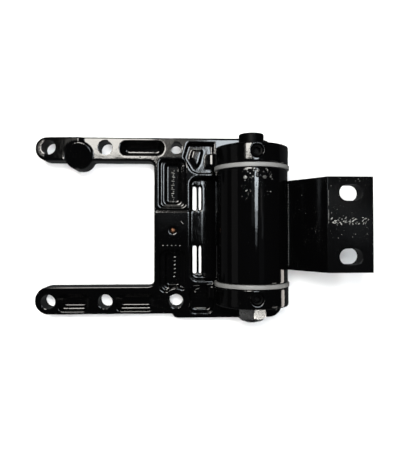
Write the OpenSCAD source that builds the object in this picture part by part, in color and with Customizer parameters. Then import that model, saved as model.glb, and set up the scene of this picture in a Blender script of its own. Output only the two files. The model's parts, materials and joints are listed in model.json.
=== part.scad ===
/* Swing-barrel pivot bracket.
   A cast fork bracket lies on its back face, z = 0. Two ears on it hold a
   through-bolted barrel that swings about an axis parallel to Y. A bent
   lever plate with two slots is welded to the barrel.
   The origin is the centre of the four front bolt holes, on the back face. */

/* [Bracket] */
// Spacing of the four front bolt holes along the arms, mm
hole_pitch_x = 49; // [44:1:52]
// Spacing of the bolt holes across the two arms, mm
hole_pitch_y = 134; // [130:1:138]
// Diameter of the four front bolt holes and the lower rear one, mm
hole_d = 12.5; // [8:0.5:13]
// Diameter of the smaller rear hole in the upper arm, mm
small_hole_d = 10; // [6:0.5:11]
// Thickness of the arms and the base, mm
arm_t = 18.5; // [16:0.5:20]
// Depth of the cast pockets below the arm's top, mm
pocket_depth = 10; // [6:0.5:12]
// Height of the round boss above the upper arm, mm
boss_rise = 3.5; // [1:0.5:5]

/* [Pivot] */
// Distance from the front bolt pattern's centre to the swing axis, mm
axis_x = 149.5; // [148:0.5:151]
// Height of the swing axis above the back face, mm
axis_z = 36; // [36:0.5:40]
// Outer diameter of the barrel, mm
barrel_d = 60; // [56:1:60]
// Length of the barrel between its bush flanges, mm
barrel_l = 92.4; // [80:0.2:92.4]
// Thickness of each bush flange, mm
flange_t = 3.3; // [2:0.1:3.3]
// Thickness of each ear along the axis, mm
ear_t = 15.6; // [14:0.2:16]
// Diameter of the pivot bolt, mm
bolt_d = 14; // [12:1:16]
// Outer diameter of the steel sleeve that the bushes turn on, mm
sleeve_d = 30; // [28:1:32]

/* [Lever] */
// Width of the lever plate across the axis, mm
plate_w = 76.2; // [60:0.2:80]
// Thickness of the lever plate, mm
plate_t = 12.7; // [8:0.1:13]
// Length of the flat part beyond the bend, mm
pad_l = 36.8; // [34:0.1:45]
// Height of the flat part's top above the swing axis, mm
pad_h = 27; // [18:0.1:28]
// Angle of the sloping leg below the flat part, degrees
leg_angle = 54; // [48:0.5:54]
// Spacing of the two slots, mm
slot_pitch = 50.8; // [46:0.1:54]
// End-to-end length of each slot, mm
slot_l = 18.7; // [18:0.1:24]
// Width of each slot, mm
slot_w = 13; // [10:0.1:15]

/* [Hidden] */
$fn = 96;

eps = 0.01;
past = 1;               // how far a cut runs past a face
side_gap = 0.3;         // between each bush flange and its ear
run_gap = 0.05;         // radial running clearance of a bush on the sleeve

// Bracket outline
front_x = hole_pitch_x / 2;
row_y = hole_pitch_y / 2;
rear_x = 86;            // third pair of holes
arm_end_x = -36;
upper_in_y = 55.5;
upper_out_y = 76.1;
lower_in_y = -54;
lower_out_y = -78;
base_out_y = -81.6;     // the base is a step wider than the lower arm
base_step_x = 83;
base_end_x = 179;
spine_x = 66.8;         // spine face inside the fork
fork_r = 5;             // fillets in the fork's inner corners
step_r = 4;
base_r = 11;
boss_x = 1.6;
boss_y = 59.6;
boss_r = 12;
pocket_z = arm_t - pocket_depth;

// Pocket field between the spine and the barrel
bay_x0 = 98.2;          // left rim of the barrel bay
bay_x1 = 140;           // the bay's floor ends here, open to the lever side
bay_y0 = -49.2;
bay_y1 = 41.6;
bay_floor = 4;
bay_r = 7;
web_y0 = -19;           // solid floor between the two pairs of windows
web_y1 = 13;
window_w = 3.6;
window_x = 100.8;
slit_w = 2.2;
slit_x = 106.4;
groove_y = 12.4;        // groove across the spine above the plug
groove_w = 1.6;
groove_drop = 1;

// Ears and barrel
pivot_y = -1.85;
barrel_r = barrel_d / 2;
ear_r = barrel_r + 0.5;
ear_in = barrel_l / 2 + flange_t + side_gap;
ear_out = ear_in + ear_t;
flange_r = barrel_r + 1.2;
bush_l = 30;            // press length of each bush inside the barrel
bush_r = 22;
sleeve_r = sleeve_d / 2;
bolt_r = bolt_d / 2;
bolt_gap = 0.1;
liner_r = 12;
seal_w = 3;
seal_r = bush_r - 3.2;
foot_z = 27;            // top of the low foot outside the lower ear
butt_x = 113;           // buttress beside each ear
butt_z = 23;

// Fasteners
head_r = 10.5;
head_h = 10;
head_washer_t = 1.6;
head_washer_r = 11;
head_socket_af = 12;
washer_t = 2;
washer_r = 13;
nut_af = 22;
nut_h = 9;
insert_h = 2;
bolt_proud = 1.2;       // bolt end beyond the nut
screw_r = 5;
screw_drop = 1;         // set screw below the ear's skin
screw_af = 5;
plug_x = 83.3;
plug_y = -5.3;
plug_r = 2.2;
plug_sink_r = 3.1;      // countersink round the plug
plug_sink = 0.9;

// Lever
bend_x = axis_x + 56;
pad_top = axis_z + pad_h;
plate_y = pivot_y + 0.9;     // middle of the plate's width
leg_run = [cos(leg_angle), sin(leg_angle)];
leg_out = [leg_run[1], -leg_run[0]];    // away from the axis, square to the leg
leg_top = barrel_r - 0.6;               // the leg is ground to sit on the barrel
leg_end = 3.5;                          // how far the leg runs past its tangent line
weld_leg = 7;

// ---- helpers -------------------------------------------------------------

// Plane shape drawn in X and Z, extruded along Y from y0 to y1
module along_y(y0, y1) {
    translate([0, y1, 0]) rotate([90, 0, 0]) linear_extrude(y1 - y0) children();
}

// Cylinder along Y on the swing axis
module on_axis(r, y0, y1) {
    translate([axis_x, y1, axis_z]) rotate([90, 0, 0]) cylinder(r = r, h = y1 - y0);
}

// Rectangle with round corners, from its two limits in X and Y
module round_rect(x0, x1, y0, y1, r) {
    translate([x0 + r, y0]) square([x1 - x0 - 2 * r, y1 - y0]);
    translate([x0, y0 + r]) square([x1 - x0, y1 - y0 - 2 * r]);
    for (x = [x0 + r, x1 - r], y = [y0 + r, y1 - r]) translate([x, y]) circle(r);
}

// Concave corner fillet; sx and sy say which way the open quadrant lies
module corner_fillet(x, y, r, sx, sy) {
    difference() {
        translate([sx > 0 ? x - eps : x - r, sy > 0 ? y - eps : y - r]) square([r + eps, r + eps]);
        translate([x + sx * r, y + sy * r]) circle(r);
    }
}

// Vertical cut down to a floor
module sink(floor_z) {
    translate([0, 0, floor_z]) linear_extrude(arm_t + past - floor_z) children();
}

// Vertical hole through the base
module drill(x, y, d) {
    translate([x, y, -past]) cylinder(d = d, h = arm_t + 2 * past);
}

// ---- bracket -------------------------------------------------------------

module arm_outline(y0, y1, x1) {
    r = (y1 - y0) / 2;
    translate([arm_end_x + r, y0]) square([x1 - arm_end_x - r, y1 - y0]);
    translate([arm_end_x + r, y0 + r]) circle(r);
}

module base_outline() {
    arm_outline(upper_in_y, upper_out_y, spine_x + past);
    arm_outline(lower_out_y, lower_in_y, spine_x + past);
    // spine and the field beside it
    translate([spine_x, lower_out_y]) square([bay_x0 + 20 - spine_x, upper_out_y - lower_out_y]);
    // wide base under the ears
    translate([base_step_x, base_out_y + base_r])
        square([base_end_x - base_step_x, upper_out_y - base_out_y - base_r - 22]);
    translate([base_step_x + step_r, base_out_y])
        square([base_end_x - base_step_x - base_r - step_r, base_r + eps]);
    translate([base_step_x + step_r, base_out_y + step_r]) circle(step_r);
    translate([base_end_x - base_r, base_out_y + base_r]) circle(base_r);
    translate([base_step_x, upper_out_y - 22 - eps]) square([base_end_x - 22 - base_step_x, 22 + eps]);
    translate([base_end_x - 22, upper_out_y - 22]) circle(22);
    corner_fillet(spine_x, upper_in_y, fork_r, -1, -1);
    corner_fillet(spine_x, lower_in_y, fork_r, -1, 1);
    translate([boss_x, boss_y]) circle(boss_r);
}

module ear(y0, y1) {
    on_axis(ear_r, y0, y1);
    along_y(y0, y1) translate([axis_x - ear_r, 0]) square([2 * ear_r, axis_z]);
    // buttress on the spine side, its top sloped up to the ear
    along_y(y0 + 3, y1 - 2) polygon([
        [butt_x, 0], [axis_x - ear_r + 2, 0],
        [axis_x - ear_r + 2, butt_z + 0.6], [butt_x + 2, butt_z], [butt_x, butt_z - 2]
    ]);
}

module hex_pocket() {
    polygon([
        [96.4, 71.7], [92.7, 59.3], [99.9, 47.3], [105.2, 45.1],
        [butt_x + 6, 45.1], [butt_x + 6, 71.7]
    ]);
}

module hex_island() {
    polygon([[100.5, 66], [98.7, 59.2], [104.1, 50.8], [106.8, 55.4], [109.4, 66]]);
}

module spine_pocket(y0, y1, r) {
    sink(pocket_z + 5) round_rect(71.4, 94.2, y0, y1, r);
    sink(pocket_z) round_rect(76.6, 89.6, y0 + 4, y1 - 3, 2.5);
}

module arm_pocket(x0, x1, y0, y1, r) {
    sink(pocket_z + 4) round_rect(x0, x1, y0, y1, r);
    sink(pocket_z) round_rect(x0 + 2.5, x1 - 2.5, y0 + 2.5, y1 - 2.5, r - 2.5);
}

module bay() {
    // floor between the windows and under the barrel
    sink(bay_floor) {
        round_rect(bay_x0, bay_x1 + 40, bay_y0, bay_y1, bay_r);
        translate([axis_x - ear_r, pivot_y - ear_in]) square([ear_r + 40, 2 * ear_in]);
    }
    // open to the lever side
    translate([bay_x1, pivot_y - ear_in, -past]) cube([60, 2 * ear_in, arm_t + 2 * past]);
}

module windows() {
    for (y = [[-44.5, web_y0], [web_y1, 35]]) {
        translate([window_x, y[0], -past]) cube([window_w, y[1] - y[0], arm_t]);
        translate([slit_x, y[0], -past]) cube([slit_w, y[1] - y[0], arm_t]);
    }
}

module bracket_casting() {
    color([0.03, 0.03, 0.035]) difference() {
        union() {
            difference() {
                linear_extrude(arm_t) base_outline();
                bay();
                sink(pocket_z + 1) hex_pocket();
                sink(pocket_z) difference() {
                    round_rect(97.4, butt_x + 6, -77.5, -53.2, 6);
                    translate([rear_x, -row_y]) circle(12.5);
                }
            }
            translate([0, 0, pocket_z]) linear_extrude(5.5) hex_island();
            translate([boss_x, boss_y, 0]) cylinder(r = boss_r, h = arm_t + boss_rise);
            ear(pivot_y + ear_in, pivot_y + ear_out);
            ear(pivot_y - ear_out, pivot_y - ear_in);
            // low foot outside the lower ear
            along_y(base_out_y + 6, pivot_y - ear_out + past)
                translate([axis_x - ear_r + 4, 0]) square([2 * ear_r - 10, foot_z - 5]);
        }
        spine_pocket(15, 57, 4);
        difference() {
            spine_pocket(-59, -22.5, 6.5);
            translate([rear_x, -row_y, 0]) cylinder(r = 11.5, h = arm_t);
        }
        arm_pocket(37.4, 75, 60.6, 72.6, 5.8);
        arm_pocket(-15.6, 9.6, -75, -60.8, 4);
        arm_pocket(34.3, 66, -75, -60.8, 4);
        translate([spine_x - past, groove_y - groove_w / 2, arm_t - groove_drop])
            cube([bay_x0 - spine_x + 2 * past, groove_w, groove_drop + past]);
        // the plug's blind hole and countersink
        translate([plug_x, plug_y, arm_t - 6]) cylinder(r = plug_r, h = 7);
        translate([plug_x, plug_y, arm_t - plug_sink])
            cylinder(r1 = plug_r, r2 = plug_sink_r, h = plug_sink + eps);
        windows();
        for (sx = [-1, 1], sy = [-1, 1]) drill(sx * front_x, sy * row_y, hole_d);
        drill(rear_x, row_y, small_hole_d);
        drill(rear_x, -row_y, hole_d);
        // relief round the nut, liner bores and set-screw holes
        on_axis(16, base_out_y - past, pivot_y - ear_out);
        on_axis(liner_r, pivot_y - ear_out - past, pivot_y + ear_out + past);
        for (y = screw_y) translate([axis_x, y, axis_z]) cylinder(r = screw_r, h = ear_r + past);
    }
}

screw_y = [pivot_y + ear_in + 8.9, pivot_y - ear_in - 7.2];

// ---- barrel and lever ----------------------------------------------------

module barrel_tube() {
    color([0.03, 0.03, 0.035]) difference() {
        on_axis(barrel_r, pivot_y - barrel_l / 2, pivot_y + barrel_l / 2);
        on_axis(bush_r, pivot_y - barrel_l, pivot_y + barrel_l);
    }
}

// A point beside the leg: u along it from the tangent line, v out from the axis
function leg_at(u, v) = [
    axis_x + v * leg_out[0] + u * leg_run[0],
    axis_z + v * leg_out[1] + u * leg_run[1]
];

module lever_profile() {
    u_bend = (pad_top - axis_z - leg_top * leg_out[1]) / leg_run[1];
    inner = (pad_top - plate_t - axis_z - (leg_top + plate_t) * leg_out[1]) / leg_run[1];
    top_bend = leg_at(u_bend, leg_top);
    polygon([
        leg_at(-leg_end, leg_top),
        top_bend,
        [bend_x + pad_l, pad_top],
        [bend_x + pad_l, pad_top - plate_t],
        leg_at(inner, leg_top + plate_t),
        leg_at(-leg_end, leg_top + plate_t)
    ]);
}

module slot_cut(y) {
    x = bend_x + pad_l / 2 + 0.6;
    half = (slot_l - slot_w) / 2;
    translate([0, 0, pad_top - plate_t - past]) {
        for (sx = [-1, 1]) translate([x + sx * half, y, 0]) cylinder(d = slot_w, h = plate_t + 2 * past);
        translate([x - half, y - slot_w / 2, 0]) cube([2 * half, slot_w, plate_t + 2 * past]);
    }
}

module lever_plate() {
    color([0.03, 0.03, 0.035]) difference() {
        along_y(plate_y - plate_w / 2, plate_y + plate_w / 2) lever_profile();
        on_axis(barrel_r, pivot_y - barrel_l, pivot_y + barrel_l);
        for (sy = [-1, 1]) slot_cut(plate_y + sy * slot_pitch / 2);
    }
}

// Fillet of weld metal in the corner between the barrel and one side of the leg
module weld_bead(points) {
    color([0.05, 0.05, 0.055]) difference() {
        along_y(plate_y - plate_w / 2 + 2, plate_y + plate_w / 2 - 2) polygon(points);
        on_axis(barrel_r, pivot_y - barrel_l, pivot_y + barrel_l);
        along_y(pivot_y - plate_w, pivot_y + plate_w) lever_profile();
    }
}

module upper_weld() {
    weld_bead([
        leg_at(2, leg_top - 0.5), leg_at(17, leg_top + 1),
        leg_at(17, leg_top - 1.2), leg_at(12, leg_top - 4)
    ]);
}

module lower_weld() {
    weld_bead([
        leg_at(-leg_end + 1, leg_top - 2), leg_at(-leg_end + 1, leg_top + weld_leg),
        leg_at(-leg_end - 1, leg_top + weld_leg - 0.5), leg_at(-leg_end - weld_leg, leg_top - 0.4),
        leg_at(-leg_end - weld_leg, leg_top - 2)
    ]);
}

// ---- turning fit ---------------------------------------------------------

// side is 1 for the upper end of the barrel and -1 for the lower end
module bush(side) {
    face = barrel_l / 2;
    module ring(r, a, b) on_axis(r, pivot_y + min(side * a, side * b), pivot_y + max(side * a, side * b));
    color([0.62, 0.62, 0.6]) difference() {
        union() {
            ring(flange_r, face, face + flange_t);
            ring(bush_r, face - bush_l, face);
        }
        ring(sleeve_r + run_gap, face - bush_l - past, face + flange_t + past);
        ring(seal_r, face - 6 - seal_w, face - 6);
    }
}

module seal(side) {
    mid = pivot_y + side * (barrel_l / 2 - 6 - seal_w / 2);
    color([0.08, 0.08, 0.08]) difference() {
        on_axis(seal_r, mid - seal_w / 2, mid + seal_w / 2);
        on_axis(sleeve_r + run_gap, mid - seal_w, mid + seal_w);
    }
}

module upper_bush() { bush(1); }
module lower_bush() { bush(-1); }
module upper_seal() { seal(1); }
module lower_seal() { seal(-1); }

module inner_sleeve() {
    color([0.7, 0.7, 0.72]) difference() {
        on_axis(sleeve_r, pivot_y - ear_in, pivot_y + ear_in);
        on_axis(bolt_r + bolt_gap, pivot_y - ear_out, pivot_y + ear_out);
    }
}

module upper_liner() {
    color([0.55, 0.55, 0.57]) washer(liner_r, pivot_y + ear_in, pivot_y + ear_out);
}

module lower_liner() {
    color([0.55, 0.55, 0.57]) washer(liner_r, pivot_y - ear_out, pivot_y - ear_in);
}

// ---- fasteners -----------------------------------------------------------

head_y = pivot_y + ear_out;
nut_y = pivot_y - ear_out - washer_t;

module hex_prism(af, y0, y1) {
    translate([axis_x, y1, axis_z]) rotate([90, 0, 0]) rotate(30)
        cylinder(d = af / cos(30), h = y1 - y0, $fn = 6);
}

module pivot_bolt() {
    top = head_y + head_washer_t;
    color([0.04, 0.04, 0.045]) difference() {
        union() {
            on_axis(bolt_r, nut_y - nut_h - insert_h - bolt_proud, top + 1);
            on_axis(head_r, top, top + head_h);
        }
        hex_prism(head_socket_af, top + head_h - 7, top + head_h + past);
    }
}

module washer(r, y0, y1) {
    difference() {
        on_axis(r, y0, y1);
        on_axis(bolt_r + bolt_gap, y0 - past, y1 + past);
    }
}

module head_washer() {
    color([0.06, 0.06, 0.065]) washer(head_washer_r, head_y, head_y + head_washer_t);
}

module nut_washer() {
    color([0.75, 0.75, 0.76]) washer(washer_r, nut_y, nut_y + washer_t);
}

module lock_nut() {
    color([0.78, 0.78, 0.8]) difference() {
        union() {
            hex_prism(nut_af, nut_y - nut_h, nut_y);
            on_axis(nut_af / 2 - 1, nut_y - nut_h - insert_h, nut_y - nut_h + 1);
        }
        on_axis(bolt_r, nut_y - nut_h - insert_h - past, nut_y + past);
        on_axis(nut_af / 2 - 2, nut_y - nut_h - insert_h - past, nut_y - nut_h);
    }
}

module nut_insert() {
    color([0.2, 0.35, 0.7]) difference() {
        on_axis(nut_af / 2 - 2, nut_y - nut_h - insert_h, nut_y - nut_h);
        on_axis(bolt_r, nut_y - nut_h - insert_h - past, nut_y);
    }
}

module set_screw(y) {
    top = axis_z + ear_r - screw_drop;
    color([0.06, 0.06, 0.065]) difference() {
        translate([axis_x, y, axis_z + liner_r]) cylinder(r = screw_r, h = top - axis_z - liner_r);
        translate([axis_x, y, top - 5]) cylinder(d = screw_af / cos(30), h = 6, $fn = 6);
    }
}

module upper_set_screw() { set_screw(screw_y[0]); }
module lower_set_screw() { set_screw(screw_y[1]); }

module pad_plug() {
    color([0.72, 0.42, 0.25]) translate([plug_x, plug_y, arm_t - 6])
        cylinder(r = plug_r, h = 5.9);
}

bracket_casting();
barrel_tube();
lever_plate();
upper_weld();
lower_weld();
upper_bush();
lower_bush();
upper_seal();
lower_seal();
inner_sleeve();
upper_liner();
lower_liner();
pivot_bolt();
head_washer();
nut_washer();
lock_nut();
nut_insert();
upper_set_screw();
lower_set_screw();
pad_plug();
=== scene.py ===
"""Looks for the swing-barrel pivot bracket: cast, turned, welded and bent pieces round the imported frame."""
import math
import json
import random

import bmesh
import bpy
from mathutils import Matrix, Vector, noise


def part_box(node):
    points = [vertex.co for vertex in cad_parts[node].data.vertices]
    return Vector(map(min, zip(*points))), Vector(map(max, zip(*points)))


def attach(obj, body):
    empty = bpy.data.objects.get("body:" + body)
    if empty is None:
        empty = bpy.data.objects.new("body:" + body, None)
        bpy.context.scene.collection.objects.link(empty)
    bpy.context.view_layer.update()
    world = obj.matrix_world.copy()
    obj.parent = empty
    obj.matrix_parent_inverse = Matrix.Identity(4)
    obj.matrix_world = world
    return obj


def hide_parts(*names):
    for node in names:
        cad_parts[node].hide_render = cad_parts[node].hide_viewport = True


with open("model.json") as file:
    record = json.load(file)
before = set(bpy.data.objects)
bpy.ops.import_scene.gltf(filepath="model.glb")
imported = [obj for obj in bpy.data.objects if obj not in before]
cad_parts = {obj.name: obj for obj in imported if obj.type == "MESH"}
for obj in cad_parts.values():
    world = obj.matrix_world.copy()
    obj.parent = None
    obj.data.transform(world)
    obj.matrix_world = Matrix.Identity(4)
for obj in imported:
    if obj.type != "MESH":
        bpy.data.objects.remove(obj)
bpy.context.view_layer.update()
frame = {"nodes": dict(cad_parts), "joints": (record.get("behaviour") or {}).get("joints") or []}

MM = 0.001
NODES = frame["nodes"]

# Sizes in millimetres, read from the frame where it gives them
AXIS = Vector(frame["joints"][0]["pos_m"]) / MM
CAST_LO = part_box("bracket_casting")[0] / MM
BARREL_LO, BARREL_HI = (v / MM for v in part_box("barrel_tube"))
PLATE_LO, PLATE_HI = (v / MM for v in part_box("lever_plate"))
BARREL_R = (BARREL_HI.z - BARREL_LO.z) / 2
BARREL_HALF = (BARREL_HI.y - BARREL_LO.y) / 2
BUSH_BORE = (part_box("inner_sleeve")[1].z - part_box("inner_sleeve")[0].z) / 2 / MM + 0.05
BOLT_R = 7.0
SCREW_Y = [sum(v.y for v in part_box(name)) / 2 / MM for name in ("upper_set_screw", "lower_set_screw")]

X_AXIS, Y_AXIS, Z_AXIS = Vector((1, 0, 0)), Vector((0, 1, 0)), Vector((0, 0, 1))
dice = random.Random(7)


# ---- mesh helpers --------------------------------------------------------

def soften(points, cut, closed=False, steps=3):
    """Rounds a profile's corners, starting cut mm before each corner."""
    out = []
    count = len(points)
    for i, point in enumerate(points):
        here = Vector(point)
        if not closed and i in (0, count - 1):
            out.append(tuple(here))
            continue
        back = Vector(points[i - 1]) - here
        on = Vector(points[(i + 1) % count]) - here
        start = here + back.normalized() * min(cut, back.length * 0.45)
        end = here + on.normalized() * min(cut, on.length * 0.45)
        for s in range(steps + 1):
            f = s / steps
            out.append(tuple((1 - f) ** 2 * start + 2 * f * (1 - f) * here + f * f * end))
    return out


def turned(bm, origin, along, rows, segments=96, tube=False):
    """Adds a turned body from rows of distance and radius; a radius may depend on angle and distance."""
    side = X_AXIS
    up = side.cross(along)
    rings = []
    for distance, radius in rows:
        ring = []
        for k in range(segments):
            turn = math.tau * k / segments
            r = radius(turn, distance) if callable(radius) else radius
            at = origin + along * distance + (side * math.cos(turn) + up * math.sin(turn)) * r
            ring.append(bm.verts.new(at * MM))
        rings.append(ring)
    pairs = list(zip(rings, rings[1:]))
    if tube:
        pairs.append((rings[-1], rings[0]))
    else:
        bm.faces.new(rings[0])
        bm.faces.new(rings[-1])
    for a, b in pairs:
        for k in range(segments):
            j = (k + 1) % segments
            bm.faces.new((a[k], a[j], b[j], b[k]))


def raised(bm, at, right, up, half_w, half_h, rise, power=2.6, points=14, wear_and_highlight=0.0):
    """Adds a small raised spot or bar with rounded edges; its last argument paints the top light grey, partly
    as rubbed paint and partly as a painted highlight.
    """
    normal = right.cross(up)
    # Vertex layer for the light grey top: partly rubbed paint, partly a painted highlight
    rubbed_and_highlit = bm.verts.layers.float.get("wear_and_highlight") or bm.verts.layers.float.new("wear_and_highlight")
    rings = []
    for scale, height in ((1.0, -0.35), (1.0, 0.0), (0.86, rise * 0.62), (0.55, rise * 0.95)):
        ring = []
        for k in range(points):
            turn = math.tau * k / points
            c, s = math.cos(turn), math.sin(turn)
            reach = (abs(c) ** power + abs(s) ** power) ** (-1 / power)
            across, along = c * reach * half_w * scale, s * reach * half_h * scale
            vert = bm.verts.new((at + right * across + up * along + normal * height) * MM)
            vert[rubbed_and_highlit] = wear_and_highlight if height > 0 else 0.0
            ring.append(vert)
        rings.append(ring)
    for a, b in zip(rings, rings[1:]):
        for k in range(points):
            j = (k + 1) % points
            bm.faces.new((a[k], a[j], b[j], b[k]))
    top = bm.verts.new((at + normal * rise) * MM)
    top[rubbed_and_highlit] = wear_and_highlight
    for k in range(points):
        bm.faces.new((rings[-1][k], rings[-1][(k + 1) % points], top))
    bm.faces.new(list(reversed(rings[0])))


def swept(bm, sections):
    """Adds a closed body through a list of sections with equal numbers of points, capped at both ends."""
    rings = [[bm.verts.new(p * MM) for p in section] for section in sections]
    count = len(rings[0])
    for a, b in zip(rings, rings[1:]):
        for k in range(count):
            j = (k + 1) % count
            bm.faces.new((a[k], a[j], b[j], b[k]))
    bm.faces.new(rings[0])
    bm.faces.new(rings[-1])


def finished(name, bm, sharp=38.0):
    """Turns a bmesh into a linked object with smooth faces and sharp edges above an angle."""
    bmesh.ops.recalc_face_normals(bm, faces=bm.faces)
    mesh = bpy.data.meshes.new(name)
    bm.to_mesh(mesh)
    bm.free()
    for poly in mesh.polygons:
        poly.use_smooth = True
    mesh.set_sharp_from_angle(angle=math.radians(sharp))
    obj = bpy.data.objects.new(name, mesh)
    bpy.context.scene.collection.objects.link(obj)
    return obj


def apply_modifiers(obj):
    """Bakes an object's modifiers into its mesh."""
    graph = bpy.context.evaluated_depsgraph_get()
    mesh = bpy.data.meshes.new_from_object(obj.evaluated_get(graph), depsgraph=graph)
    obj.modifiers.clear()
    obj.data = mesh


def place(obj, node, body, material):
    """obj stands for a CAD node, moves with a body and takes a material."""
    obj.data.materials.clear()
    obj.data.materials.append(material)
    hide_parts(node)
    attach(obj, body)


# ---- materials -----------------------------------------------------------

class Nodes:
    """A material's node tree, with short calls to add and join nodes."""

    def __init__(self, name):
        self.material = bpy.data.materials.new(name)
        self.material.use_nodes = True
        self.tree = self.material.node_tree
        self.shader = self.tree.nodes["Principled BSDF"]
        self.where = self.add("ShaderNodeTexCoord").outputs["Object"]

    def add(self, kind, **values):
        node = self.tree.nodes.new(kind)
        for key, value in values.items():
            setattr(node, key, value)
        return node

    def join(self, out, into):
        self.tree.links.new(out, into)

    def noise(self, scale, detail=2.0, rough=0.5, where=None):
        node = self.add("ShaderNodeTexNoise")
        node.inputs["Scale"].default_value = scale
        node.inputs["Detail"].default_value = detail
        node.inputs["Roughness"].default_value = rough
        self.join(where or self.where, node.inputs["Vector"])
        return node.outputs["Fac"]

    def stretched(self, scale, stretch):
        """Object coordinates scaled per axis, for lines and streaks."""
        node = self.add("ShaderNodeVectorMath", operation="MULTIPLY")
        self.join(self.where, node.inputs[0])
        node.inputs[1].default_value = [scale * s for s in stretch]
        return node.outputs[0]

    def ramp(self, value, low, high, out_low, out_high):
        node = self.add("ShaderNodeMapRange")
        for key, number in zip(("From Min", "From Max", "To Min", "To Max"), (low, high, out_low, out_high)):
            node.inputs[key].default_value = number
        self.join(value, node.inputs["Value"])
        return node.outputs["Result"]

    def math(self, operation, a, b):
        node = self.add("ShaderNodeMath", operation=operation)
        for socket, value in zip(node.inputs, (a, b)):
            if isinstance(value, (int, float)):
                socket.default_value = value
            else:
                self.join(value, socket)
        return node.outputs[0]

    def mix_colour(self, factor, a, b):
        node = self.add("ShaderNodeMix", data_type="RGBA")
        self.join(factor, node.inputs["Factor"])
        for name, value in (("A", a), ("B", b)):
            socket = next(s for s in node.inputs if s.name == name and s.type == "RGBA")
            if isinstance(value, tuple):
                socket.default_value = (*value, 1)
            else:
                self.join(value, socket)
        return next(s for s in node.outputs if s.type == "RGBA")

    def bump(self, height, strength, distance, after=None):
        node = self.add("ShaderNodeBump")
        node.inputs["Strength"].default_value = strength
        node.inputs["Distance"].default_value = distance
        self.join(height, node.inputs["Height"])
        if after:
            self.join(after, node.inputs["Normal"])
        return node.outputs["Normal"]

    def set(self, **values):
        names = {"rough": "Roughness", "metal": "Metallic", "specular": "Specular IOR Level", "ior": "IOR"}
        for key, value in values.items():
            self.shader.inputs[names[key]].default_value = value


def gloss_paint(name, grain, peel, dust, rough=(0.03, 0.09), gloss=0.5):
    """Black paint over cast or rolled metal: orange peel, fine grain, a little dust, and light grey on raised
    spots that is partly rubbed paint and partly a painted highlight.
    """
    n = Nodes(name)
    n.set(specular=gloss, ior=1.42)
    rubbed_and_highlit = n.add("ShaderNodeAttribute", attribute_name="wear_and_highlight").outputs["Fac"]
    patch = n.noise(60, 3, 0.55)
    specks = n.ramp(n.noise(1300, 1, 0.5), 0.68, 0.80, 0, 1)
    dusty = n.math("MULTIPLY", specks, n.ramp(patch, 0.48, 0.7, 0, dust))
    painted = n.mix_colour(dusty, (0.0008, 0.0008, 0.0009), (0.09, 0.088, 0.082))
    # Light grey where the vertex layer says so: partly rubbed paint, partly a painted highlight
    n.join(n.mix_colour(rubbed_and_highlit, painted, (0.42, 0.42, 0.40)), n.shader.inputs["Base Color"])
    duller = n.math("MULTIPLY", n.math("MAXIMUM", dusty, rubbed_and_highlit), 0.3)
    n.join(n.math("ADD", n.ramp(patch, 0.3, 0.7, *rough), duller), n.shader.inputs["Roughness"])
    soft = n.bump(n.noise(240, 2, 0.5), peel, 0.00008)
    n.join(n.bump(n.noise(900, 2, 0.6), grain, 0.000045, soft), n.shader.inputs["Normal"])
    return n.material


def polymer(name, low, high):
    """Moulded polymer, slightly worn, with fine turning marks round the axis."""
    n = Nodes(name)
    n.set(specular=0.4, ior=1.45)
    patch = n.noise(90, 3, 0.6)
    n.join(n.mix_colour(patch, low, high), n.shader.inputs["Base Color"])
    n.join(n.ramp(patch, 0.3, 0.7, 0.38, 0.55), n.shader.inputs["Roughness"])
    lines = n.noise(1.0, 2, 0.6, n.stretched(160, (1, 22, 1)))
    n.join(n.bump(lines, 0.25, 0.00003), n.shader.inputs["Normal"])
    return n.material


def metal(name, low, high, rough=(0.2, 0.36), grain=900, strength=0.35):
    """Bare or plated metal with mottled tone and fine grain."""
    n = Nodes(name)
    n.set(metal=1.0)
    patch = n.noise(180, 3, 0.6)
    n.join(n.mix_colour(patch, low, high), n.shader.inputs["Base Color"])
    n.join(n.ramp(patch, 0.3, 0.7, *rough), n.shader.inputs["Roughness"])
    n.join(n.bump(n.noise(grain, 2, 0.6), strength, 0.00004), n.shader.inputs["Normal"])
    return n.material


def rubber(name):
    """Matt black rubber with a fine moulded skin."""
    n = Nodes(name)
    n.set(specular=0.3)
    fine = n.noise(700, 3, 0.6)
    n.join(n.mix_colour(fine, (0.010, 0.010, 0.010), (0.03, 0.03, 0.03)), n.shader.inputs["Base Color"])
    n.join(n.ramp(fine, 0.3, 0.7, 0.6, 0.8), n.shader.inputs["Roughness"])
    n.join(n.bump(fine, 0.4, 0.00005), n.shader.inputs["Normal"])
    return n.material


CAST_PAINT = gloss_paint("cast_paint", grain=0.6, peel=0.4, dust=0.3, rough=(0.04, 0.09))
BARREL_PAINT = gloss_paint("barrel_paint", grain=0.15, peel=0.25, dust=0.08, rough=(0.02, 0.06))
PLATE_PAINT = gloss_paint("plate_paint", grain=0.4, peel=0.3, dust=0.7, rough=(0.06, 0.14))
WELD_PAINT = gloss_paint("weld_paint", grain=0.3, peel=0.3, dust=0.1)
BOLT_BLACK = gloss_paint("bolt_black", grain=0.4, peel=0.3, dust=0.3, rough=(0.40, 0.55), gloss=0.06)
POLYMER = polymer("bush_polymer", (0.12, 0.12, 0.117), (0.20, 0.20, 0.195))
NYLON = polymer("nylon", (0.55, 0.54, 0.50), (0.68, 0.67, 0.62))
RUBBER = rubber("seal_rubber")
STEEL = metal("ground_steel", (0.38, 0.38, 0.39), (0.52, 0.52, 0.53), (0.22, 0.35))
ZINC = metal("zinc", (0.50, 0.50, 0.50), (0.78, 0.78, 0.77), (0.16, 0.32), 650, 0.8)
COPPER = metal("copper", (0.13, 0.065, 0.038), (0.20, 0.10, 0.06), (0.4, 0.55))


# ---- bracket casting -----------------------------------------------------

ARM_TOP = 18.5
POCKET_FLOOR = 8.5
BOSS = Vector((1.6, 59.6, 0))
BORES = [(x, y, 6.25) for x in (-24.5, 24.5) for y in (-67, 67)] + [(86, -67, 6.25), (86, 67, 5.0)]

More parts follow.
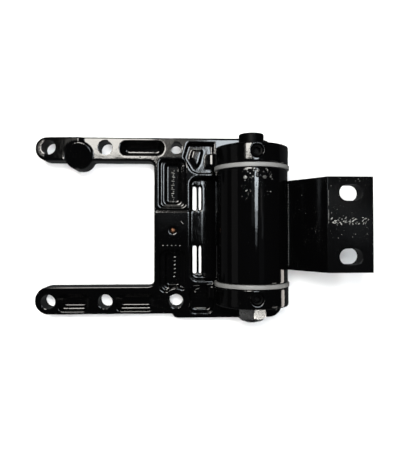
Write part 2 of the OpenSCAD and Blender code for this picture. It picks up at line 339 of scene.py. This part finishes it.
# Faces that aren't level: limits low x, high x, low y and high y, then the slope
BAY, BAY_SLOPE = (109.5, 139.5, -49, 41), 0.1
BUTTRESS, BUTTRESS_SLOPE = (112.5, 119, 49, 63), 0.08
ARM_POCKET, POCKET_SLOPE = (37, 76, 60, 73), 0.09
BOSS_SLOPE, BOSS_HIGH_Y = 0.18, 72.9
RAMP_X, RAMP_SLOPE, RAMP_TOP, RAMP_DROP = -28, 0.07, 2.07, 0.45


def within(x, y, limits):
    return limits[0] < x < limits[1] and limits[2] < y < limits[3]


def cast_height(x, y, z):
    """Height of a cast top face: sloped boss and buttress, a ramp to the boss, floors that aren't level."""
    if within(x, y, BAY) and 2 < z < 8:
        return z - BAY_SLOPE * (x - BAY[0])
    if within(x, y, BUTTRESS) and 22 < z < 25:
        return z + BUTTRESS_SLOPE * (56 - y)
    if within(x, y, ARM_POCKET) and 3 < z < ARM_TOP - 3:
        return z + POCKET_SLOPE * (y - 66.6)
    if z < ARM_TOP - 0.8 or y < 40 or x > 40:
        return z
    blend = min(1.0, max(0.0, (z - ARM_TOP) / 3.0))
    ramp = max(0.0, RAMP_SLOPE * (x - RAMP_X))
    if x > BOSS.x:
        ramp = max(0.0, RAMP_TOP - RAMP_DROP * (x - BOSS.x)) if y > BOSS.y + 8 else 0.0
    return z - blend * BOSS_SLOPE * (BOSS_HIGH_Y - y) + (1 - blend) * ramp


def cast_marks(bm):
    """Small raised foundry marks: pips in the pockets, a bar and a few spots on the spine, their tops
    lightened, partly as rubbed paint and partly as a painted highlight.
    """
    def bar(x, y, z, w, h, rise=0.6, turn=0.0):
        right = Vector((math.cos(turn), math.sin(turn), 0))
        # Each mark's top is painted lighter: partly rubbed paint, partly a painted highlight
        raised(bm, Vector((x, y, z)), right, Z_AXIS.cross(right), w / 2, h / 2, rise,
               wear_and_highlight=dice.uniform(0.15, 0.45))

    for k in range(8):
        bar(83.4 + dice.uniform(-0.5, 0.5), 20.5 + 3.7 * k, POCKET_FLOOR, dice.uniform(2.6, 3.8), 1.2,
            0.8, dice.uniform(-0.5, 0.5))
        bar(83.4 + dice.uniform(-1.2, 1.2), 22.2 + 3.7 * k, POCKET_FLOOR, 1.3, 1.1, 0.7,
            dice.uniform(-0.8, 0.8))
    for k in range(7):
        bar(84.6 + dice.uniform(-0.4, 0.4), -46.5 + 3.5 * k, POCKET_FLOOR, 2.0, 1.1, 0.7,
            dice.uniform(-0.6, 0.6))
    for k in range(5):
        bar(74.6 + 3.7 * k, -18.4, ARM_TOP, 1.4, 0.9, 0.35)
    bar(107.5, -74.8, POCKET_FLOOR, 12.0, 1.6, 1.6)
    bar(103.5, -54.6, POCKET_FLOOR, 7.0, 0.9, 0.9)
    bar(105.0, -57.6, POCKET_FLOOR, 4.4, 1.0, 0.9, 0.25)
    bar(103.0, -60.2, POCKET_FLOOR, 1.4, 2.0, 0.8, 0.3)
    bar(91.3, 1.6, ARM_TOP, 4.2, 0.8, 0.3, -0.9)
    bar(68.9, 10.8, ARM_TOP, 1.2, 1.2, 0.4)
    bar(104.0, 66.9, 12.5, 9.0, 1.3, 1.5)
    bar(54.4, 58.8, ARM_TOP, 1.6, 1.2, 0.4)


def drilled(at):
    """True beside a machined hole's wall or edge, which stays crisp."""
    if any(math.hypot(at.x - x, at.y - y) < r + 1.3 for x, y, r in BORES):
        return True
    from_screw = math.hypot(at.x - AXIS.x, min(abs(at.y - y) for y in SCREW_Y))
    return at.z > AXIS.z + 22 and abs(from_screw - 5) < 1.3


def squared(at):
    """A point near the upper rim of a drilled hole, pulled onto the rim's flat face or its wall."""
    for x, y, r in BORES:
        out = Vector((at.x - x, at.y - y, 0))
        gap, drop = out.length - r, ARM_TOP - at.z
        if -0.6 < gap < 1.5 and -0.6 < drop < 1.5:
            corner = max(gap, drop) < 0.75
            across = gap if corner or gap <= drop else 0.0
            up = drop if corner or gap > drop else 0.0
            return at - out.normalized() * across + Vector((0, 0, up))
    return at


def casting():
    """The casting as poured and painted: cast edges softened, drilled ones crisp, faces a little uneven."""
    mesh = NODES["bracket_casting"].data.copy()
    obj = bpy.data.objects.new("bracket_cast", mesh)
    bpy.context.scene.collection.objects.link(obj)
    remesh = obj.modifiers.new("grains", "REMESH")
    remesh.mode = "VOXEL"
    remesh.voxel_size = 0.68 * MM
    apply_modifiers(obj)
    cast = obj.vertex_groups.new(name="cast")
    cast.add([v.index for v in obj.data.vertices if not drilled(v.co / MM)], 1.0, "REPLACE")
    for group, rounds in (("", 2), ("cast", 9)):
        smooth = obj.modifiers.new("fillets", "SMOOTH")
        smooth.factor = 0.5
        smooth.iterations = rounds
        smooth.vertex_group = group
    apply_modifiers(obj)
    bm = bmesh.new()
    bm.from_mesh(obj.data)
    bm.normal_update()
    for vert in bm.verts:
        at = squared(vert.co / MM)
        vert.co = at * MM + vert.normal * (noise.noise(at * 0.07) * 0.05 + noise.noise(at * 0.3) * 0.010) * MM
        vert.co.z = cast_height(at.x, at.y, vert.co.z / MM) * MM
    cast_marks(bm)
    bpy.data.objects.remove(obj)
    place(finished("bracket_cast", bm, 60), "bracket_casting", "bracket", CAST_PAINT)


# ---- barrel, bushes and seals --------------------------------------------

def barrel():
    """Drawn tube with rounded rims, faint orange peel and blistered paint near its upper end; a few blister
    tops are painted light grey as a painted highlight.
    """
    def skin(turn, distance):
        at = Vector((math.cos(turn) * BARREL_R, distance, math.sin(turn) * BARREL_R))
        return BARREL_R - 0.02 + noise.noise(at * 0.22) * 0.012 + noise.noise(at * 0.06) * 0.02

    bm = bmesh.new()
    half = BARREL_HALF
    steps = 92
    rim = [(-half, 22.0), (-half, BARREL_R - 0.9), (-half + 0.25, BARREL_R - 0.3)]
    rows = rim + [(-half + 0.9 + (2 * half - 1.8) * k / steps, skin) for k in range(steps + 1)]
    rows += [(-d, r) for d, r in reversed(rim)]
    turned(bm, AXIS, Y_AXIS, rows, 192, tube=True)
    for _ in range(70):
        reach = dice.random() ** 1.6
        turn = math.radians(90 + dice.uniform(-24, 24))
        normal = Vector((math.cos(turn), 0, math.sin(turn)))
        at = AXIS + normal * BARREL_R + Y_AXIS * (half - 1.6 - reach * 24)
        size = dice.uniform(0.3, 0.6) if reach > 0.3 else dice.uniform(0.5, 1.5)
        # Some blister tops are painted light grey: a painted highlight
        raised(bm, at, Y_AXIS, Y_AXIS.cross(normal) * -1, size, size * dice.uniform(0.8, 1.2), size * 0.35,
               2.0, wear_and_highlight=dice.choice((0, 0, 0.1, 0.3)))
    place(finished("barrel", bm), "barrel_tube", "swing_arm", BARREL_PAINT)


def bush(node, side):
    """Flanged bush: rounded flange rim, press diameter, seal groove and a chamfered bore."""
    lo, hi = (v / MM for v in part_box(node))
    flange_r = (hi.z - lo.z) / 2
    face = BARREL_HALF
    flange = hi.y - lo.y - 30
    profile = soften([
        (face, 22.0), (face, flange_r), (face + flange, flange_r), (face + flange, BUSH_BORE),
        (face - 6, BUSH_BORE), (face - 6, 18.8), (face - 9, 18.8), (face - 9, BUSH_BORE),
        (face - 30, BUSH_BORE), (face - 30, 22.0)
    ], 0.45, closed=True, steps=2)
    bm = bmesh.new()
    turned(bm, AXIS, Y_AXIS, [(side * d, r) for d, r in profile], 144, tube=True)
    place(finished(node + "_ring", bm), node, "swing_arm", POLYMER)


def ring(node, body, slot, material, cut=0.3, segments=96):
    """A plain turned ring, its size read from the frame, with rounded edges."""
    lo, hi = (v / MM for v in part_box(node))
    outer = (hi.z - lo.z) / 2
    inner = {"upper_seal": BUSH_BORE, "lower_seal": BUSH_BORE}.get(node, BOLT_R + 0.1)
    profile = soften([(lo.y, inner), (lo.y, outer), (hi.y, outer), (hi.y, inner)], cut, closed=True)
    bm = bmesh.new()
    turned(bm, Vector((AXIS.x, 0, AXIS.z)), Y_AXIS, profile, segments, tube=True)
    place(finished(node + "_ring", bm), node, body, material)


# ---- fasteners -----------------------------------------------------------

def hexagon(across, cap=None):
    """Radius of a hexagon with a corner upwards, cut down by a cone when cap gives its radius by distance."""
    def radius(turn, distance):
        r = across / 2 / math.cos((turn + math.pi / 6) % (math.pi / 3) - math.pi / 6)
        return min(r, cap(distance)) if cap else r
    return radius


def pivot_bolt():
    """Socket-head bolt: plain chamfered head, hexagon socket and threaded end."""
    lo, hi = (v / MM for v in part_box("pivot_bolt"))
    head_r = (hi.z - lo.z) / 2
    top = hi.y
    under = top - 10
    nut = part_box("lock_nut")[1].y / MM
    pitch = 2.0

    def thread(turn, distance):
        phase = (distance / pitch + turn / math.tau) % 1.0
        end = max(0.0, 1.2 - (distance - lo.y))
        return BOLT_R - 0.05 - 0.8 * (1 - abs(2 * phase - 1)) - end

    rows = [(top - 7, 0.01), (top - 7.01, hexagon(11.9)), (top - 0.7, hexagon(12.0)), (top, hexagon(13.2))]
    rows += soften([
        (top, 7.9), (top, head_r - 0.2), (top - 1.6, head_r), (under + 0.4, head_r), (under, head_r - 0.5),
        (under, BOLT_R + 0.4), (under - 0.9, BOLT_R), (nut + 2, BOLT_R)
    ], 0.5)
    count = 48
    rows += [(nut + 1.9 - (nut + 1.9 - lo.y) * k / count, thread) for k in range(count + 1)]
    rows.append((lo.y, 0.01))
    bm = bmesh.new()
    turned(bm, Vector((AXIS.x, 0, AXIS.z)), Y_AXIS, rows, 96)
    place(finished("bolt", bm, 30), "pivot_bolt", "bracket", BOLT_BLACK)


def lock_nut():
    """Hexagon nut with chamfered corners on both faces and a rolled collar round its insert."""
    lo, hi = (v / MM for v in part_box("lock_nut"))
    seat = hi.y
    collar = lo.y
    outer = collar + 2

    def cone(distance):
        return 10.9 + 1.75 * min(seat - distance, distance - outer)

    side = hexagon(22, cone)
    steps = [0, 0.1, 0.25, 0.4, 0.55, 0.7, 0.85, 1.0, 1.2]
    rows = [(seat, BOLT_R + 0.5), (seat, 10.6)] + [(seat - d, side) for d in steps]
    rows += [(outer + d, side) for d in reversed(steps)]
    rows += soften([
        (outer, 10.2), (collar + 0.9, 9.9), (collar, 9.2), (collar, 8.6), (outer, 8.6), (outer, BOLT_R)
    ], 0.3)
    rows += [(outer + 0.4, BOLT_R), (seat - 0.5, BOLT_R)]
    bm = bmesh.new()
    turned(bm, Vector((AXIS.x, 0, AXIS.z)), Y_AXIS, rows, 120, tube=True)
    place(finished("nut", bm, 22), "lock_nut", "bracket", ZINC)


def nut_insert():
    """Nylon ring inside the nut's collar."""
    lo, hi = (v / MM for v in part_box("nut_insert"))
    bore = BOLT_R - 0.05
    profile = soften([(lo.y + 0.3, bore), (lo.y + 0.3, 8.6), (hi.y, 8.6), (hi.y, bore)], 0.25, closed=True)
    bm = bmesh.new()
    turned(bm, Vector((AXIS.x, 0, AXIS.z)), Y_AXIS, profile, 72, tube=True)
    place(finished("insert", bm), "nut_insert", "bracket", NYLON)


def set_screw(node):
    """Socket set screw: dished face, hexagon socket and a thread."""
    lo, hi = (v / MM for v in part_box(node))
    at = Vector(((lo.x + hi.x) / 2, (lo.y + hi.y) / 2, 0))
    r = (hi.x - lo.x) / 2
    pitch = 1.25

    def thread(turn, distance):
        phase = (distance / pitch + turn / math.tau) % 1.0
        return r - 0.1 - 0.45 * (1 - abs(2 * phase - 1))

    top = hi.z
    rows = [(top - 5, 0.01), (top - 5, hexagon(4.9)), (top - 0.8, hexagon(5.0)), (top - 0.3, hexagon(5.6)),
            (top, r - 0.9), (top - 0.5, r - 0.35)]
    count = 60
    rows += [(top - 0.6 - (top - 0.6 - lo.z) * k / count, thread) for k in range(count + 1)]
    rows.append((lo.z, 0.01))
    bm = bmesh.new()
    turned(bm, at, Z_AXIS, rows, 60)
    place(finished(node + "_body", bm, 30), node, "bracket", BOLT_BLACK)


def pad_plug():
    """Soft copper plug, driven in and slightly domed."""
    lo, hi = (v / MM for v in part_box("pad_plug"))
    at = Vector(((lo.x + hi.x) / 2, (lo.y + hi.y) / 2, 0))
    r = (hi.x - lo.x) / 2
    rows = [(hi.z, 0.01), (hi.z - 0.05, r * 0.45), (hi.z - 0.3, r * 0.82), (hi.z - 0.7, r - 0.02),
            (lo.z, r - 0.02), (lo.z, 0.01)]
    bm = bmesh.new()
    turned(bm, at, Z_AXIS, rows, 36)
    place(finished("plug", bm, 50), "pad_plug", "bracket", COPPER)


# ---- lever plate and welds -----------------------------------------------

LEG_ANGLE = math.radians(54)
LEG_RUN = Vector((math.cos(LEG_ANGLE), 0, math.sin(LEG_ANGLE)))
LEG_OUT = Vector((LEG_RUN.z, 0, -LEG_RUN.x))
LEG_TOP = BARREL_R - 0.6
BEND_X = AXIS.x + 56
PLATE_TOP = PLATE_HI.z


def leg_at(u, v, y):
    """A point beside the leg: u along it, v out from the axis, y across."""
    return Vector((AXIS.x, y, AXIS.z)) + LEG_RUN * u + LEG_OUT * v


def lever_plate():
    """Bent bar with rounded edges, paint nibs and a row of marks across its middle; the marks' tops are
    partly rubbed paint and partly a painted highlight, and the nibs' tops and the dashes along the bend are
    painted highlights.
    """
    bm = bmesh.new()
    bm.from_mesh(NODES["lever_plate"].data)
    bmesh.ops.remove_doubles(bm, verts=bm.verts, dist=0.002 * MM)
    bmesh.ops.dissolve_limit(bm, angle_limit=math.radians(1.0), verts=bm.verts, edges=bm.edges)
    edges = [e for e in bm.edges if len(e.link_faces) == 2 and e.calc_face_angle() > math.radians(20)]
    bmesh.ops.bevel(bm, geom=edges, offset=0.7 * MM, segments=3, profile=0.5, affect="EDGES",
                    clamp_overlap=True)
    mid = (PLATE_LO.y + PLATE_HI.y) / 2
    # A row of marks whose tops are painted light: partly rubbed paint, partly a painted highlight
    for _ in range(46):
        at = Vector((BEND_X + dice.uniform(2, 34), mid + 3 + dice.uniform(-2.6, 2.6), PLATE_TOP))
        turn = dice.uniform(-1.3, 1.3)
        right = Vector((math.cos(turn), math.sin(turn), 0))
        raised(bm, at, right, Z_AXIS.cross(right), dice.uniform(0.5, 1.5), dice.uniform(0.25, 0.45), 0.3,
               wear_and_highlight=dice.uniform(0.1, 0.6))
    # Paint nibs whose tops are painted light as painted highlights
    for k in range(40):
        across = dice.uniform(27, 37) if k % 2 else dice.uniform(-14, 14)
        size = dice.uniform(0.12, 0.34)
        at = Vector((BEND_X + dice.uniform(2, 33), mid + across, PLATE_TOP))
        if across < 14 or at.x < BEND_X + 6 or across > 34:
            raised(bm, at, X_AXIS, Y_AXIS, size, size, size * 0.5, 2.0, 8, dice.uniform(0.1, 0.5))
    # Thin light dashes along the bend: a painted highlight
    for _ in range(14):
        at = Vector((BEND_X + 0.9, mid + dice.uniform(0, 30), PLATE_TOP))
        raised(bm, at, X_AXIS, Y_AXIS, 0.22, dice.uniform(0.8, 2.2), 0.12, wear_and_highlight=dice.uniform(0.1, 0.35))
    # A few nibs on the leg, their tops painted light as painted highlights
    for _ in range(5):
        at = leg_at(dice.uniform(18, 46), LEG_TOP, mid + dice.uniform(-34, 34))
        size = dice.uniform(0.15, 0.35)
        raised(bm, at, LEG_RUN, Y_AXIS, size, size, size * 0.5, 2.0, 8, dice.uniform(0.1, 0.5))
    obj = finished("lever", bm, 32)
    weight = obj.modifiers.new("flat faces", "WEIGHTED_NORMAL")
    weight.keep_sharp = True
    apply_modifiers(obj)
    place(obj, "lever_plate", "swing_arm", PLATE_PAINT)


def weld(node, path, back, lift):
    """Weld bead along Y: its rippled face runs through path, and back closes it inside the parts."""
    lo, hi = (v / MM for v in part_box(node))
    sections = []
    count = 260
    for k in range(count + 1):
        y = lo.y + (hi.y - lo.y) * k / count
        wave = (y / 2.3 + 0.15 * noise.noise(Vector((y * 0.4, 1, 2)))) % 1.0
        ripple = 0.28 * math.sqrt(wave) + 0.25 * noise.noise(Vector((y * 0.25, 5, 3)))
        end = min(1.0, (k + 0.5) / 5, (count - k + 0.5) / 5) ** 0.5
        section = []
        for i, (u, v) in enumerate(path):
            swell = math.sin(math.pi * i / (len(path) - 1)) * end
            section.append(leg_at(u + lift[0] * swell * (1 + ripple), v + lift[1] * swell * (1 + ripple), y))
        section += [leg_at(u, v, y) for u, v in back]
        sections.append(section)
    bm = bmesh.new()
    swept(bm, sections)
    place(finished(node + "_bead", bm, 50), node, "swing_arm", WELD_PAINT)


def between(a, b, steps):
    """Points on a straight line from a to b."""
    return [(a[0] + (b[0] - a[0]) * s / steps, a[1] + (b[1] - a[1]) * s / steps) for s in range(steps + 1)]


def welds():
    """One bead above the joint of plate and barrel and one below it."""
    on_barrel = math.sqrt(BARREL_R ** 2 - 12.5 ** 2)
    weld("upper_weld", between((17.0, LEG_TOP + 0.1), (12.5, on_barrel - 0.1), 8),
         [(9, LEG_TOP - 1.2), (9, LEG_TOP + 0.4)], (0.9, -0.5))
    on_side = math.sqrt(BARREL_R ** 2 - 100)
    weld("lower_weld", between((-10.0, on_side - 0.1), (-3.4, LEG_TOP + 6.5), 8),
         [(-2.5, LEG_TOP), (-6, LEG_TOP - 3)], (-0.9, 0.6))


casting()
barrel()
for node, side in (("upper_bush", 1), ("lower_bush", -1)):
    bush(node, side)
for node, body, slot, material in (
        ("upper_seal", "swing_arm", "seal_rubber", RUBBER),
        ("lower_seal", "swing_arm", "seal_rubber", RUBBER),
        ("inner_sleeve", "bracket", "ground_steel", STEEL),
        ("upper_liner", "bracket", "ground_steel", STEEL),
        ("lower_liner", "bracket", "ground_steel", STEEL),
        ("head_washer", "bracket", "bolt_black", BOLT_BLACK),
        ("nut_washer", "bracket", "zinc", ZINC)):
    ring(node, body, slot, material)
pivot_bolt()
lock_nut()
nut_insert()
set_screw("upper_set_screw")
set_screw("lower_set_screw")
pad_plug()
lever_plate()
welds()


# ---- floor, light and camera ---------------------------------------------

def floor():
    """A plain pale table that sweeps up into a pale wall; gloss shows the world's lower half in its place."""
    bm = bmesh.new()
    turns = [math.tau * k / 96 for k in range(96)]
    profile = [(1.6, 0), (1.85, 0.07), (2.05, 0.25), (2.15, 0.55), (2.2, 3.0)]
    rings = [[bm.verts.new((r * math.cos(t), r * math.sin(t), z)) for t in turns] for r, z in profile]
    bm.faces.new(rings[0])
    for inner, outer in zip(rings, rings[1:]):
        for k in range(len(turns)):
            bm.faces.new((inner[k - 1], inner[k], outer[k], outer[k - 1]))
    obj = finished("floor", bm)
    obj.location.z = (CAST_LO.z - 0.2) * MM
    n = Nodes("floor_paper")
    n.shader.inputs["Base Color"].default_value = (0.9, 0.9, 0.9, 1)
    n.shader.inputs["Emission Color"].default_value = (1, 1, 1, 1)
    n.set(rough=0.9, specular=0.1)
    away = n.add("ShaderNodeVectorMath", operation="LENGTH")
    n.join(n.where, away.inputs[0])
    n.join(n.ramp(away.outputs["Value"], 0.45, 1.3, 0.0, 0.85), n.shader.inputs["Emission Strength"])
    obj.data.materials.append(n.material)
    obj.visible_glossy = obj.visible_diffuse = False


def lamp(name, x, y, radiance, colour=(1, 1, 1), height=1.2, seen=True):
    """A soft rectangular lamp that faces down over the limits x and y in metres."""
    light = bpy.data.lights.new(name, "AREA")
    light.shape = "RECTANGLE"
    light.size, light.size_y = x[1] - x[0], y[1] - y[0]
    light.energy = radiance * math.pi * light.size * light.size_y
    light.color = colour
    obj = bpy.data.objects.new(name, light)
    bpy.context.scene.collection.objects.link(obj)
    obj.location = ((x[0] + x[1]) / 2, (y[0] + y[1]) / 2, height)
    obj.visible_glossy = seen
    return obj


def card(name, x, y, z, radiance, colour=(1, 1, 1)):
    """A dim upright card at x that faces the object over the limits y and z in metres."""
    obj = lamp(name, (0, z[1] - z[0]), y, radiance, colour)
    obj.location = (x, (y[0] + y[1]) / 2, (z[0] + z[1]) / 2)
    obj.rotation_euler = (0, math.copysign(math.pi / 2, x), 0)
    return obj


WARM = (1.0, 0.97, 0.91)
COOL = (0.86, 0.94, 1.0)
TABLE_GLOW, SKY_GLOW = 0.075, 0.012   # what gloss sees below and above the horizon


def lights():
    """A warm soft box up and to the left, a cool window over the barrel, fills that gloss doesn't show."""
    lamp("key_box", (-0.38, -0.005), (0.25, 0.80), 23, WARM)
    lamp("key_wings", (-0.50, 0.17), (0.25, 0.80), 2.0, WARM, 1.21)
    lamp("window", (0.18, 0.40), (0.15, 0.42), 20, COOL)
    lamp("window_mid", (0.19, 0.38), (0.07, 0.15), 15, COOL)
    lamp("window_low", (0.20, 0.36), (0.01, 0.07), 7, COOL)
    lamp("window_foot", (0.21, 0.33), (-0.05, 0.01), 1.5, COOL)
    lamp("haze", (-0.02, 0.13), (0.02, 0.25), 0.2, COOL, 1.22)
    lamp("plate_haze_a", (0.56, 0.69), (0.05, 0.15), 0.3)
    lamp("plate_haze_b", (0.64, 0.76), (-0.03, 0.06), 0.3, COOL)
    lamp("plate_haze", (0.45, 0.85), (-0.20, 0.25), 0.05, COOL, 1.22)
    card("left_card", -1.2, (-0.5, 0.5), (0.45, 1.1), 0.15)
    card("right_card", 1.0, (-0.48, -0.26), (0.25, 0.55), 3.5, WARM)
    card("right_low", 0.9, (-0.42, -0.06), (-0.24, -0.02), 6.0, (1.0, 0.93, 0.86))
    lamp("fill_top", (-0.55, 0.15), (0.10, 0.80), 1.6, seen=False, height=1.3)
    lamp("fill_low", (0.0, 0.8), (-0.9, -0.3), 1.4, seen=False, height=1.1)
    lamp("fill_eye", (-0.01, 0.19), (-0.11, 0.09), 14, seen=False, height=0.46)
    world = bpy.data.worlds.new("studio")
    world.use_nodes = True
    tree = world.node_tree
    where = tree.nodes.new("ShaderNodeTexCoord")
    split = tree.nodes.new("ShaderNodeSeparateXYZ")
    above = tree.nodes.new("ShaderNodeMapRange")
    above.inputs["From Min"].default_value, above.inputs["From Max"].default_value = -0.03, 0.03
    above.inputs["To Min"].default_value, above.inputs["To Max"].default_value = TABLE_GLOW, SKY_GLOW
    tree.links.new(where.outputs["Generated"], split.inputs[0])
    tree.links.new(split.outputs["Z"], above.inputs["Value"])
    tree.links.new(above.outputs["Result"], tree.nodes["Background"].inputs["Strength"])
    tree.nodes["Background"].inputs["Color"].default_value = (0.95, 0.98, 1.0, 1)
    bpy.context.scene.world = world


EYE = (0.09073, -0.00697, 0.40624)
PITCH, YAW, ROLL = -0.0144, 0.0418, 0.0003
LENS = 35.23


def camera():
    """Looks down on the bracket from 0.41 m, square to its back face within 3 degrees."""
    cam = bpy.data.cameras.new("camera")
    cam.sensor_width = 36.0
    cam.lens = LENS
    cam.clip_start, cam.clip_end = 0.01, 20
    obj = bpy.data.objects.new("camera", cam)
    bpy.context.scene.collection.objects.link(obj)
    turn = Matrix.Rotation(ROLL, 3, "Z") @ Matrix.Rotation(YAW, 3, "Y") @ Matrix.Rotation(PITCH, 3, "X")
    obj.matrix_world = Matrix.Translation(EYE) @ turn.transposed().to_4x4()
    bpy.context.scene.camera = obj


floor()
lights()
camera()
bpy.context.scene.view_settings.view_transform = "Standard"
